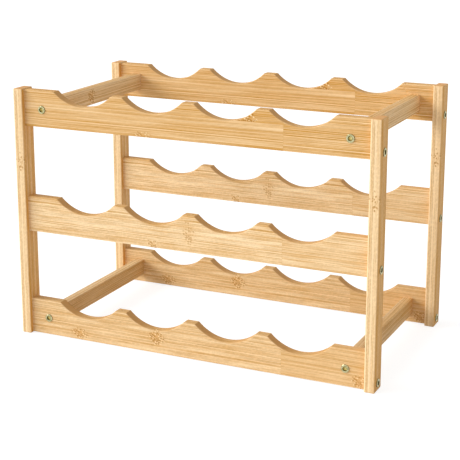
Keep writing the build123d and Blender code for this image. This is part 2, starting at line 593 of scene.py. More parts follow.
        relief = layers[FIBRES]
        for mark in self.marks:
            spot = g.use(effects.node_mark, Place=place, Centre=mark.centre, Reach=mark.reach,
                         Floor=mark.floor, Density=mark.density).outputs
            pale_flecks = mark.strength * self.pale_flecks
            for name, cover, tint in (("Patch", mark.patch, self.stain),
                                      ("Pale Flecks", pale_flecks, self.fleck_pale),
                                      ("Dark Flecks", mark.strength, self.fleck)):
                covered = g.math("MULTIPLY", spot[name], cover)
                colour = g.mix(covered, colour, tint)
            relief = g.math("SUBTRACT", relief, covered)

        for name, cover, tint in (("end_grain", self.end_cover, self.end_grain),
                                  # painted highlight on the rounded edges
                                  ("arris", self.arris_highlight, self.pale),
                                  # the scallops' walls: the strips cut across, with painted shade
                                  ("hollow", self.hollow_cover, self.hollow),
                                  # painted shade on the scallops' back edges
                                  ("hollow_back", self.hollow_cover, self.back_edge_shade)):
            colour = g.mix(g.math("MULTIPLY", g.mask(name), cover), colour, tint)
        g.coat(Base_Color=colour, Specular_IOR_Level=self.sheen,
               Roughness=g.ramp_up(layers[BANDS], *self.band_range, self.roughness))
        g.emboss(relief, self.relief, self.relief_height)
        return g.material


@dataclass(frozen=True)
class Zinc:
    """Yellow zinc plating on steel, satin, with painted shade on its hexagon's walls and round its
    head's edge, and a painted glint on the hexagon's floor.
    """

    name: str = "yellow_zinc"  # the finish's name
    plate: Colour = srgb(196, 190, 149)  # the plating's colour
    tarnish: Colour = srgb(158, 152, 106)  # its colour where the passivation is thicker
    rim: Colour = srgb(128, 112, 70)  # painted shade round the head's edge
    # painted shade on the hexagon's walls, which gives way to the floor's colour toward the floor
    hexagon_shade: Colour = srgb(44, 42, 30)
    floor: Colour = srgb(255, 240, 160)  # a painted glint on the hexagon's floor
    roughness: tuple[float, float] = (0.3, 0.45)  # the smoothest and the roughest that it gets
    blotch_size: float = 2.2 * MM  # size of the tarnished patches
    tarnishing: tuple[float, float] = (0.4, 0.62)  # blotch values where it starts and is full
    grit_size: float = 0.25 * MM  # size of the plating's fine grit
    grit_height: float = 0.03 * MM  # how high the grit is
    grit: float = 0.15  # how much of it shows
    floor_glint_share: float = 0.7  # how much of the metal's shine the hexagon's floor loses, so that its painted glint shows

    def material(self) -> Material:
        """Makes the finish.

        Returns:
            The material.
        """
        g = Surface(self.name)
        here = g.add("TexCoord").outputs["Object"]
        blotch = g.noise(here, 1 / self.blotch_size, 3.0, 0.6)
        colour = g.mix(g.ramp_up(blotch, *self.tarnishing), self.plate, self.tarnish)
        # painted shade round the head's edge and on the hexagon's walls, and a painted glint on the
        # hexagon's floor
        for name, tint in (("head_rim_shade", self.rim), ("hexagon_wall", self.hexagon_shade),
                           ("hexagon_depth", self.floor)):
            mask = g.mask(name)
            colour = g.mix(mask, colour, tint)
        g.coat(Base_Color=colour, Metallic=g.math("MULTIPLY_ADD", mask, -self.floor_glint_share, 1.0),
               Roughness=g.ramp_up(blotch, *NOISE_SPAN, self.roughness))
        g.emboss(g.noise(here, 1 / self.grit_size), self.grit, self.grit_height)
        return g.material


@dataclass(frozen=True)
class Birch:
    """Bare birch of the dowels."""

    name: str = "birch"  # the finish's name
    pale: Colour = srgb(228, 204, 168)  # colour of the pale wood
    dark: Colour = srgb(196, 162, 118)  # colour of the darker wood
    roughness: tuple[float, float] = (0.6, 0.75)  # of the pale and of the darker wood
    streaks: tuple[float, float, float] = (9 * MM, 0.5 * MM, 1 * MM)  # length, width and wander
    relief: float = 0.3  # how much of the grain's relief shows
    relief_height: float = 0.1 * MM  # how high the relief is

    def material(self, effects: Effects) -> Material:
        """Makes the finish.

        Args:
            effects: the shared node groups.

        Returns:
            The material.
        """
        g = Surface(self.name)
        here = g.add("TexCoord").outputs["Object"]
        length, width, wander = self.streaks
        fibre = g.use(effects.fibres, Place=here, Streak_Length=length, Streak_Width=width,
                      Wander=wander).outputs["Value"]
        g.coat(Base_Color=g.mix(g.ramp_up(fibre, *NOISE_SPAN), self.pale, self.dark),
               Roughness=g.ramp_up(fibre, *NOISE_SPAN, self.roughness))
        g.emboss(fibre, self.relief, self.relief_height)
        return g.material


# ------------------------------------------------------------------------------ boards
@lru_cache(maxsize=None)
def node_box(node: str) -> tuple[Vector, Vector]:
    """The lowest and highest corner of a CAD node, measured once."""
    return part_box(node)


@dataclass(frozen=True)
class Board:
    """Where a board is and how its grain runs."""

    node: str  # the CAD node that it stands for
    grain: Grain  # how it lies

    @classmethod
    def post(cls, face: Face, side: Side) -> Board:
        """A post of one frame."""
        return cls(f"{face.word}_{side.word}_post", Grain.POST)

    @classmethod
    def rail(cls, face: Face, level: Level) -> Board:
        """A rail of one frame."""
        return cls(f"{face.word}_{level.value}_rail", Grain.RAIL)

    @classmethod
    def bar(cls, level: Level, side: Side) -> Board:
        """A cross bar."""
        return cls(f"{level.value}_{side.word}_cross_bar", Grain.CROSS_BAR)

    @property
    def low(self) -> Vector:
        """Its lowest corner."""
        return node_box(self.node)[0]

    @property
    def high(self) -> Vector:
        """Its highest corner."""
        return node_box(self.node)[1]

    @property
    def middle(self) -> Vector:
        """The middle of its box."""
        return (self.low + self.high) / 2

    @property
    def size(self) -> Vector:
        """Its size along X, Y and Z."""
        return self.high - self.low

    @property
    def size_by_grain(self) -> tuple[float, ...]:
        """Its length along the grain, its height across the strips and its thickness."""
        return tuple(self.size["XYZ".index(axis)] for axis in self.grain.value)

    def end_x(self, toward: int) -> float:
        """Where its left (-1) or right (1) end is."""
        return self.middle.x + toward * self.size.x / 2

    def end_y(self, toward: int) -> float:
        """Where its front (-1) or back (1) end is."""
        return self.middle.y + toward * self.size.y / 2

    def blank(self) -> BMesh:
        """A sharp box of its size, in its place.

        Returns:
            The box's mesh.
        """
        bm = bmesh.new()
        bmesh.ops.create_cube(bm, size=1.0)
        bmesh.ops.scale(bm, vec=self.size, verts=bm.verts)
        bmesh.ops.translate(bm, vec=self.middle, verts=bm.verts)
        return bm


def aimed(place: Sequence[float], axis: Sequence[float]) -> Matrix:
    """The matrix that puts a shape made along +Z at a place, with its +Z along an axis."""
    turn = Vector(axis).to_track_quat("Z", "Y").to_matrix().to_4x4()
    return Matrix.Translation(Vector(place)) @ turn


@dataclass(frozen=True)
class Fixings:
    """Sizes and places of the screws and dowels, and of the holes that they go into."""

    screw_length: float = 40 * MM  # from the head's seat to the tip
    shank_diameter: float = 5 * MM  # over the thread
    core_diameter: float = 3.6 * MM  # under the thread
    thread_pitch: float = 2.2 * MM  # from one turn of the thread to the next
    neck_length: float = 9 * MM  # plain shank under the head's cone
    head_diameter: float = 9 * MM  # over the head
    head_height: float = 1 * MM  # how far the head stands proud
    head_bevel: float = 0.3 * MM  # the head's bevelled rim
    socket_size: float = 4 * MM  # the hexagon across its flats
    socket_depth: float = 2.6 * MM  # how deep the hexagon is
    socket_chamfer: float = 0.25 * MM  # the easing of the hexagon's mouth
    tip_length: float = 3 * MM  # the tapered tip
    tip_diameter: float = 2 * MM  # the tip's blunt end
    post_screw_rise: float = 7.5 * MM  # from a rail's lower edge to the screw through the post
    bar_screw_rise: float = 19.5 * MM  # from a rail's lower edge to the screw into a cross bar
    dowel_diameter: float = 6 * MM  # over the flutes
    dowel_grip: float = 17 * MM  # how far a dowel reaches into a rail
    dowel_bite: float = 8 * MM  # how far a dowel reaches into a post
    dowel_drop: float = 11.5 * MM  # from a rail's upper edge down to the dowel
    dowel_chamfer: float = 0.6 * MM  # the easing of a dowel's ends
    flutes: int = 14  # how many grooves a dowel has
    flute_depth: float = 0.25 * MM  # how deep they are
    clearance: float = 0.05 * MM  # around a shank or a dowel
    end_gap: float = 1 * MM  # beyond a screw's tip
    dowel_end_gap: float = 0.5 * MM  # beyond a dowel's end

    @property
    def cone_depth(self) -> float:
        """Depth of the right-angled cone under a screw's head."""
        return (self.head_diameter - self.shank_diameter) / 2

    @property
    def neck_end(self) -> float:
        """Height at which the plain shank ends, from the head's seat."""
        return -self.cone_depth - self.neck_length

    def screw_height(self, rail: Board) -> float:
        """Height of the screws in a rail's ends."""
        return rail.low.z + self.post_screw_rise

    def dowel_height(self, rail: Board) -> float:
        """Height of the dowels in a rail's ends."""
        return rail.high.z - self.dowel_drop

    def post_seat(self, face: Face, side: Side, level: Level) -> Matrix:
        """Where a screw's head seats on a post.

        Args:
            face: the front or the back frame.
            side: the left or the right post.
            level: the row of the rail that it holds.

        Returns:
            The place, with +Z out of the wood.
        """
        post, rail = Board.post(face, side), Board.rail(face, level)
        place = (post.end_x(side.toward), post.middle.y, self.screw_height(rail))
        return aimed(place, (side.toward, 0, 0))

    def bar_seat(self, face: Face, side: Side, level: Level) -> Matrix:
        """Where a cross bar's screw seats on a rail.

        Args:
            face: the front or the back frame.
            side: the left or the right bar.
            level: the row of the rail.

        Returns:
            The place, with +Z out of the wood.
        """
        rail, bar = Board.rail(face, level), Board.bar(level, side)
        place = (bar.middle.x, rail.end_y(face.toward), rail.low.z + self.bar_screw_rise)
        return aimed(place, (0, face.toward, 0))

    def rail_end(self, rail: Board, side: Side, height: float) -> Matrix:
        """A place on a rail's end, with +Z out of the wood."""
        return aimed((rail.end_x(side.toward), rail.middle.y, height), (side.toward, 0, 0))


def add_lathed(bm: BMesh, profile: Sequence[tuple[float, float]], place: Matrix,
               steps: int) -> None:
    """Turns a profile about its own axis into a closed solid.

    Args:
        bm: the mesh to add to.
        profile: radius and height of each corner, from one end of the axis to the other.
        place: where the solid goes, with its axis along the matrix's Z.
        steps: how many faces go round.
    """
    verts = [bm.verts.new((radius, 0.0, height)) for radius, height in profile]
    edges = [bm.edges.new(pair) for pair in zip(verts, verts[1:])]
    bmesh.ops.spin(bm, geom=verts + edges, cent=(0, 0, 0), axis=(0, 0, 1),
                   angle=math.tau, steps=steps, use_merge=True)
    bmesh.ops.remove_doubles(bm, verts=connected(verts[0]), dist=MERGED)
    fresh = connected(next(v for v in verts if v.is_valid))
    face_outward(bm, fresh)
    bmesh.ops.transform(bm, matrix=place, verts=fresh)


def connected(start: BMVert) -> list[BMVert]:
    """Finds everything that edges join to one vertex.

    Args:
        start: the vertex.

    Returns:
        The vertices, in the order found.
    """
    found, queue = {start: None}, [start]
    while queue:
        for edge in queue.pop().link_edges:
            for vert in edge.verts:
                if vert not in found:
                    found[vert] = None
                    queue.append(vert)
    return list(found)


def face_outward(bm: BMesh, verts: Iterable[BMVert]) -> None:
    """Turns the faces of a closed solid outward, given its vertices."""
    bmesh.ops.recalc_face_normals(bm, faces=list({f for v in verts for f in v.link_faces}))


def of_kind(parts: Iterable[object], kind: type) -> list:
    """The vertices, edges or faces among the parts that an operator gives."""
    return [part for part in parts if isinstance(part, kind)]


@contextmanager
def editing(mesh: Mesh) -> Iterator[BMesh]:
    """Opens a mesh as a bmesh, and writes it back.

    Args:
        mesh: the mesh.

    Yields:
        The bmesh, to change.
    """
    bm = bmesh.new()
    bm.from_mesh(mesh)
    yield bm
    bm.to_mesh(mesh)
    bm.free()


def add_object(data: bpy.types.ID, place: Sequence[float] = (0, 0, 0)) -> Object:
    """Puts something in the scene under its own name.

    Args:
        data: a mesh, a lamp or a camera.
        place: where it goes.

    Returns:
        The object.
    """
    made = bpy.data.objects.new(data.name, data)
    bpy.context.scene.collection.objects.link(made)
    made.location = place
    return made


def as_object(bm: BMesh, name: str) -> Object:
    """Makes an object of a mesh, at the origin, and frees the bmesh.

    Args:
        bm: the mesh.
        name: the object's name.

    Returns:
        The object.
    """
    mesh = bpy.data.meshes.new(name)
    bm.to_mesh(mesh)
    bm.free()
    return add_object(mesh)


def stand_in(piece: Object, node: str, material: Material) -> None:
    """Gives a piece its finish, and lets it stand for a CAD node.

    Args:
        piece: the piece.
        node: the node that it replaces.
        material: the finish.
    """
    piece.data.materials.clear()
    piece.data.materials.append(material)
    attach(piece, BODY)
    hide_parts(node)
    log.info("%s: %d faces", piece.name, len(piece.data.polygons))


def cut_away(piece: Object, cutters: BMesh) -> None:
    """Takes every cutter out of a piece at once.

    Args:
        piece: the piece.
        cutters: closed solids where the stuff is taken away.
    """
    tool = as_object(cutters, "cutters")
    drill = piece.modifiers.new("holes", "BOOLEAN")
    drill.operation = "DIFFERENCE"
    drill.solver = "EXACT"
    drill.object = tool
    graph = bpy.context.evaluated_depsgraph_get()
    drilled = bpy.data.meshes.new_from_object(piece.evaluated_get(graph))
    blank = piece.data
    piece.modifiers.clear()
    piece.data = drilled
    drilled.name = blank.name
    bpy.data.meshes.remove(blank)
    bpy.data.meshes.remove(tool.data)


@dataclass
class Joinery:
    """Cuts and finishes that every board shares."""

    fixings: Fixings = field(default_factory=Fixings)  # the screws' and dowels' sizes
    arris: float = 1 * MM  # radius of the rounded edges
    arris_steps: int = 3  # faces across a rounded edge
    screw_hole_steps: int = 48  # faces round a countersunk hole
    plain_hole_steps: int = 32  # faces round a plain hole
    crest_share: float = 0.7  # a rail's hollows start this share of the arris under its top
    upward: float = 0.2  # how far up a hollow's faces look at least
    forward: float = 0.3  # how far forward they look at most
    backward: float = 0.2  # how far back the hollows' faces look at least, to get the painted shade on their back edge
    # how steep the hollows' walls get from bare to fully cut across the grain
    cross_cut: tuple[float, float] = (0.04, 0.34)
    sharp_angle: float = math.radians(38)  # edges that turn more than this are shaded sharp

    def round_edges(self, bm: BMesh, edges: Iterable[BMEdge],
                    radius: float | None = None, steps: int | None = None) -> None:
        """Rounds edges and marks the new faces as an arris.

        Args:
            bm: the mesh.
            edges: the edges to round.
            radius: how far the rounding reaches onto each face, if not the usual.
            steps: faces across the rounding, if not the usual.
        """
        bm.edges.index_update()
        layer = bm.faces.layers.float.get("arris") or bm.faces.layers.float.new("arris")
        picked = [edge.index for edge in edges]
        bm.edges.ensure_lookup_table()
        fresh = bmesh.ops.bevel(bm, geom=[bm.edges[i] for i in picked],
                                offset=radius or self.arris, offset_type="OFFSET",
                                segments=steps or self.arris_steps, profile=0.5,
                                affect="EDGES", clamp_overlap=True, material=-1)
        # the arris mark takes a painted highlight in the bamboo finish
        for face in fresh["faces"]:
            face[layer] = 1.0

    def screw_hole(self, cutters: BMesh, seat: Matrix, thickness: float) -> None:
        """A countersunk hole for a screw, right through a board.

        Args:
            cutters: the mesh that takes the cutter.
            seat: where the head seats, with +Z out of the wood.
            thickness: the board's thickness.
        """
        fix = self.fixings
        depth = thickness + fix.end_gap
        head = fix.head_diameter / 2 + fix.clearance
        shank = fix.shank_diameter / 2 + fix.clearance
        add_lathed(cutters, ((0, fix.end_gap), (head, fix.end_gap), (head, 0),
                             (shank, shank - head), (shank, -depth), (0, -depth)),
                   seat, self.screw_hole_steps)

    def plain_hole(self, cutters: BMesh, mouth: Matrix, diameter: float,
                   depth: float) -> None:
        """A plain hole with a flat bottom.

        Args:
            cutters: the mesh that takes the cutter.
            mouth: the middle of its mouth, with +Z out of the wood.
            diameter: the hole's diameter, without the clearance.
            depth: how deep the hole is.
        """
        fix = self.fixings
        radius = diameter / 2 + fix.clearance
        add_lathed(cutters, ((0, fix.end_gap), (radius, fix.end_gap), (radius, -depth),
                             (0, -depth)), mouth, self.plain_hole_steps)

    def finish(self, bm: BMesh, cutters: BMesh, board: Board,
               material: Material) -> Object:
        """Drills a board, marks its cut ends, smooths its roundings and gives it its finish.

        Args:
            bm: the board's mesh, rounded.
            cutters: the solids of its holes.
            board: where it is.
            material: its finish.

        Returns:
            The board.
        """
        piece = as_object(bm, f"{board.node}_bamboo")
        cut_away(piece, cutters)
        along, across, _ = ("XYZ".index(axis) for axis in board.grain.value)
        crest = board.high[across] - self.crest_share * self.arris
        bare, full = self.cross_cut
        with editing(piece.data) as bm:
            ends, narrow, hollow, back = (
                bm.faces.layers.float.new(name)
                for name in ("end_grain", "narrow_face", "hollow", "hollow_back"))
            for face in bm.faces:
                normal = face.normal
                in_hollow = (board.grain is Grain.RAIL and normal[across] > self.upward
                             and normal.y > -self.forward
                             and face.calc_center_median()[across] < crest)
                slope = min(1.0, max(0.0, (abs(normal[along]) - bare) / (full - bare)))
                face[ends] = 0.0 if in_hollow else normal[along] ** 2
                face[narrow] = normal[across] ** 2
                # the hollow mask takes the scallop walls' colour, which carries painted shade
                face[hollow] = slope if in_hollow else 0.0
                # the back mask takes the painted shade on the scallops' back edges
                face[back] = slope if in_hollow and normal.y > self.backward else 0.0
                face.smooth = True
        piece.data.set_sharp_from_angle(angle=self.sharp_angle)
        piece.modifiers.new("even_normals", "WEIGHTED_NORMAL").keep_sharp = True
        stand_in(piece, board.node, material)
        return piece


@dataclass
class LadderFrame:
    """Two posts and three scalloped rails."""

    face: Face  # the front or the back frame
    effects: Effects  # the shared node groups
    joinery: Joinery  # the shared cuts
    scallop_radius: float = 51 * MM  # radius of the bottle hollows
    scallop_depth: float = 15 * MM  # how deep they are
    scallop_pitch: float = 86 * MM  # from one hollow to the next
    scallop_count: int = 4  # hollows on each rail
    crest_easing: float = 0.25 * MM  # easing of the corners beside each hollow
    arc_steps: int = 30  # straight runs that make each hollow

    @property
    def rise(self) -> float:
        """Height of the hollows' centres over a rail's upper edge."""
        return self.scallop_radius - self.scallop_depth

    @property
    def half_angle(self) -> float:
        """Half of each hollow's arc."""
        return math.acos(self.rise / self.scallop_radius)

    @property
    def half_mouth(self) -> float:
        """Half of each hollow's width at a rail's upper edge."""
        return self.scallop_radius * math.sin(self.half_angle)

    def scallops(self, board: Board) -> list[float]:
        """Finds where the hollows of a rail are.

        Args:
            board: where the rail is.

        Returns:
            The hollows' middles along X.
        """
        first = -(self.scallop_count - 1) / 2
        return [board.middle.x + (first + number) * self.scallop_pitch
                for number in range(self.scallop_count)]

    def build(self) -> list[Object]:
        """Makes the frame's boards."""
        return [self.post(side) for side in Side] + [self.rail(level) for level in Level]

    def post(self, side: Side) -> Object:
        """Makes one post, rounded all over and drilled for three screws and three dowels.

        Args:
            side: the left or the right post.

        Returns:
            The post.
        """
        board = Board.post(self.face, side)
        fix = self.joinery.fixings
        bm = board.blank()
        self.joinery.round_edges(bm, bm.edges)
        cutters = bmesh.new()
        for level in Level:
            seat = fix.post_seat(self.face, side, level)
            self.joinery.screw_hole(cutters, seat, board.size.x)
            height = fix.dowel_height(Board.rail(self.face, level))
            mouth = aimed((board.end_x(-side.toward), board.middle.y, height),
                          (-side.toward, 0, 0))
            self.joinery.plain_hole(cutters, mouth, fix.dowel_diameter,
                                    fix.dowel_bite + fix.dowel_end_gap)
        return self.joinery.finish(bm, cutters, board,
                                   POST_BAMBOO[side].material(self.effects, board))

    def rail(self, level: Level) -> Object:
        """Makes one rail, with its long edges rounded and its ends square where they butt.

        Args:
            level: the row that the rail is on.

        Returns:
            The rail.
        """
        board = Board.rail(self.face, level)
        bm = bmesh.new()
        grown = bmesh.ops.extrude_face_region(bm, geom=[self.rail_outline(bm, board)])
        bmesh.ops.translate(bm, vec=(0, board.size.y, 0),
                            verts=of_kind(grown["geom"], BMVert))
        bmesh.ops.recalc_face_normals(bm, faces=bm.faces)
        self.round_rail(bm, board)
        return self.joinery.finish(bm, self.rail_holes(board, level), board,
                                   RAIL_BAMBOO[level].material(self.effects, board))

    def rail_outline(self, bm: BMesh, board: Board) -> BMFace:
        """Draws a rail's front face, with its hollows spun about their centres.

        Args:
            bm: the mesh to draw in.
            board: where the rail is.

        Returns:
            The face.
        """
        y, bottom, top = board.low.y, board.low.z, board.high.z
        edge_line = [bm.verts.new((board.low.x, y, bottom)), bm.verts.new((board.low.x, y, top))]
        bm.edges.new(edge_line)
        for x in self.scallops(board):
            crest = bm.verts.new((x - self.half_mouth, y, top))
            bm.edges.new((edge_line[-1], crest))
            hollow = bmesh.ops.spin(bm, geom=[crest], cent=(x, y, top + self.rise),
                                    axis=(0, -1, 0), angle=2 * self.half_angle,
                                    steps=self.arc_steps)
            edge_line += of_kind(hollow["geom_last"], BMVert)
        ends = [bm.verts.new((board.high.x, y, top)), bm.verts.new((board.high.x, y, bottom))]
        for pair in ((edge_line[-1], ends[0]), ends, (ends[1], edge_line[0])):
            bm.edges.new(pair)
        return bmesh.ops.contextual_create(bm, geom=bm.edges[:])["faces"][0]

    def round_rail(self, bm: BMesh, board: Board) -> None:
        """Rounds the rims of the two broad faces, then eases the corners beside the hollows.

        Args:
            bm: the rail's mesh, with sharp edges.
            board: where the rail is.
        """

        def on_end(vert: BMVert) -> bool:
            """Whether a vertex is on one of the rail's cut ends."""
            return min(vert.co.x - board.low.x, board.high.x - vert.co.x) < NEAR

        self.joinery.round_edges(bm, [e for e in bm.edges
                                      if run_y(e) < NEAR and not all(map(on_end, e.verts))])
        crests = [x + way * self.half_mouth for x in self.scallops(board) for way in (-1, 1)]
        reach = 1.2 * self.joinery.arris  # how far down a crest's line gets on the rounded rims
        lean = 0.6  # how far it strays sideways, as a share of how far down it is

        def beside_crest(vert: BMVert) -> bool:
            """Whether a vertex is on the corner line of a crest."""
            down = board.high.z - vert.co.z
            return down < reach and any(abs(vert.co.x - x) < down * lean + NEAR for x in crests)

        lines = [e for e in bm.edges if all(map(beside_crest, e.verts)) and run_y(e) > NEAR]
        self.joinery.round_edges(bm, lines, self.crest_easing, 2)

    def rail_holes(self, board: Board, level: Level) -> BMesh:
        """Makes the cutters of a rail's holes.

        Args:
            board: where the rail is.
            level: the row that the rail is on.

        Returns:
            The cutters.
        """
        fix = self.joinery.fixings
        cutters = bmesh.new()
        for side in Side:
            for height, diameter, depth in (
                    (fix.screw_height(board), fix.shank_diameter,
                     fix.screw_length - board.size.y + fix.end_gap),
                    (fix.dowel_height(board), fix.dowel_diameter,
                     fix.dowel_grip + fix.dowel_end_gap)):
                self.joinery.plain_hole(cutters, fix.rail_end(board, side, height), diameter, depth)
            if level in BAR_LEVELS:
                seat = fix.bar_seat(self.face, side, level)
                self.joinery.screw_hole(cutters, seat, board.size.y)
        return cutters


def run_y(edge: BMEdge) -> float:
    """How far an edge runs along Y."""
    return abs(edge.verts[0].co.y - edge.verts[1].co.y)


@dataclass
class CrossBars:
    """The four bars that hold the two frames apart."""

    effects: Effects  # the shared node groups
    joinery: Joinery  # the shared cuts

    def build(self) -> list[Object]:
        """Makes the bars."""
        return [self.bar(level, side) for level in BAR_LEVELS for side in Side]

    def bar(self, level: Level, side: Side) -> Object:
        """Makes one bar, with square ends that butt against the rails.

        Args:
            level: the row of rails that it joins.
            side: the side that it is on.

        Returns:
            The bar.
        """
        board = Board.bar(level, side)
        fix = self.joinery.fixings
        bm = board.blank()
        self.joinery.round_edges(bm, [e for e in bm.edges if run_y(e) > NEAR])
        cutters = bmesh.new()
        grip = fix.screw_length - Board.rail(Face.FRONT, level).size.y
        for face in Face:
            end = aimed((board.middle.x, board.end_y(face.toward), board.middle.z),
                        (0, face.toward, 0))
            self.joinery.plain_hole(cutters, end, fix.shank_diameter, grip + fix.end_gap)
        return self.joinery.finish(bm, cutters, board,
                                   BAR_BAMBOO[level, side].material(self.effects, board))


# ------------------------------------------------------------------------------ fasteners
@dataclass
class Screws:
    """Countersunk screws with a flat head, a hexagon socket and a wood thread."""

    fixings: Fixings  # their sizes
    round_steps: int = 40  # faces round the head and shank
    thread_steps: int = 16  # straight runs in each turn of the thread
    thread_foot: float = 0.28  # half of the thread's foot, as a share of its pitch
    thread_root: float = 0.9  # how deep its foot sits in the core, as a share of the core's radius
    easing_reach: float = 1.4  # how deep the hexagon's mouth is eased, as a share of its chamfer
    sharp_angle: float = math.radians(30)  # edges that turn more than this are shaded sharp

    def pattern(self) -> Mesh:
        """Makes one screw at the origin, with its head's seat at height 0 and its tip down.

        Returns:
            The screw's mesh.
        """
        fix = self.fixings
        bm = bmesh.new()
        head, shank, core = (size / 2 for size in (fix.head_diameter, fix.shank_diameter,
                                                   fix.core_diameter))
        top, floor = fix.head_height, fix.head_height - fix.socket_depth
        add_lathed(bm, (
            (0, top), (head - fix.head_bevel, top), (head, top - fix.head_bevel), (head, 0),
            (shank, -fix.cone_depth), (shank, fix.neck_end), (core, fix.neck_end - (shank - core)),
            (core, fix.tip_length - fix.screw_length), (fix.tip_diameter / 2, -fix.screw_length),
            (0, -fix.screw_length)), Matrix.Identity(4), self.round_steps)
        screw = as_object(bm, "screw_pattern")
        across_corners = fix.socket_size / math.sqrt(3)
        socket = bmesh.new()
        bmesh.ops.create_cone(socket, cap_ends=True, segments=6, radius1=across_corners,
                              radius2=across_corners, depth=fix.socket_depth + fix.end_gap,
                              matrix=Matrix.Translation((0, 0, (top + floor + fix.end_gap) / 2)))
        cut_away(screw, socket)
        mouth, above = across_corners + fix.socket_chamfer, fix.socket_chamfer
        below = self.easing_reach * above
        easing = bmesh.new()
        add_lathed(easing, ((0, top + above), (mouth + above, top + above),
                            (mouth - below, top - below), (0, top - below)),
                   Matrix.Identity(4), self.round_steps)
        cut_away(screw, easing)
        mesh = screw.data
        bpy.data.objects.remove(screw)
        with editing(mesh) as bm:
            self.mark_hexagon(bm, floor)
            self.thread(bm)
        return mesh

    def mark_hexagon(self, bm: BMesh, floor: float) -> None:
        """Marks a screw's hexagon and the edge of its head for the finish, which paints shade on
        the hexagon's walls and the head's edge and a glint on the hexagon's floor.

        Args:
            bm: the screw, with its axis on Z.
            floor: height of the hexagon's floor.
        """
        fix = self.fixings
        wall = bm.faces.layers.float.new("hexagon_wall")
        depth = bm.verts.layers.float.new("hexagon_depth")
        rim = bm.faces.layers.float.new("head_rim_shade")
        mouth = fix.head_height - 0.05 * MM
        widest = 0.64 * fix.socket_size
        rim_inside = 0.45 * fix.head_diameter
        steepest = 0.3
        for vert in bm.verts:
            # the floor's vertices take the painted glint
            vert[depth] = float(abs(vert.co.z - floor) < fix.clearance)
        # the hexagon's walls and the head's edge get painted shade
        for face in bm.faces:
            middle = face.calc_center_median()
            out = middle.xy.length
            if out < widest and floor - fix.clearance < middle.z < mouth:
                face[wall] = 1.0
            elif out > rim_inside and abs(face.normal.z) < steepest:
                face[rim] = 1.0

    def thread(self, bm: BMesh) -> None:
        """Winds a three-sided ridge along a helix round the core.

        Args:
            bm: the mesh to add it to.
        """
        fix = self.fixings
        sunk, crest = self.thread_root * fix.core_diameter / 2, fix.shank_diameter / 2
        top = fix.neck_end - fix.thread_pitch
        turns = int((top + fix.screw_length - fix.tip_length) / fix.thread_pitch)
        half_foot = fix.thread_pitch * self.thread_foot
        corners = [bm.verts.new(place) for place in (
            (sunk, 0, top + half_foot), (crest, 0, top), (sunk, 0, top - half_foot))]
        profile = bmesh.ops.contextual_create(bm, geom=corners)["faces"]
        steps = turns * self.thread_steps
        bmesh.ops.spin(bm, geom=profile + profile[0].edges[:] + corners, cent=(0, 0, 0),
                       axis=(0, 0, -1), dvec=(0, 0, -turns * fix.thread_pitch / steps),
                       angle=turns * math.tau, steps=steps)
        face_outward(bm, connected(next(v for v in corners if v.is_valid)))

    def group(self, node: str, pattern: Mesh, seats: Iterable[Matrix],
              material: Material) -> Object:
        """Makes the screws of one board as one piece.

        Args:
            node: the CAD node that they stand for.
            pattern: one screw.
            seats: where each goes.
            material: their finish.

        Returns:
            The piece.
        """
        bm = bmesh.new()
        for number, seat in enumerate(seats):
            bm.from_mesh(pattern)
            bm.verts.ensure_lookup_table()
            fresh = bm.verts[number * len(pattern.vertices):]
            bmesh.ops.transform(bm, matrix=seat, verts=fresh)
        for face in bm.faces:
            face.smooth = True
        piece = as_object(bm, f"{node}_zinc")
        piece.data.set_sharp_from_angle(angle=self.sharp_angle)
        stand_in(piece, node, material)
        return piece

    def build(self, finish: Zinc) -> list[Object]:
        """Makes every screw.

        Args:
            finish: their finish.

        Returns:
            The pieces, one for each post and one for each rail with cross bars.
        """
        fix = self.fixings
        pattern, material = self.pattern(), finish.material()
        made = []
        for face in Face:
            groups = {f"{face.word}_{side.word}_post_screws":
                      [fix.post_seat(face, side, level) for level in Level] for side in Side}
            groups |= {f"{face.word}_{level.value}_bar_screws":
                       [fix.bar_seat(face, side, level) for side in Side] for level in BAR_LEVELS}
            made += [self.group(node, pattern, seats, material) for node, seats in groups.items()]
        bpy.data.meshes.remove(pattern)
        return made


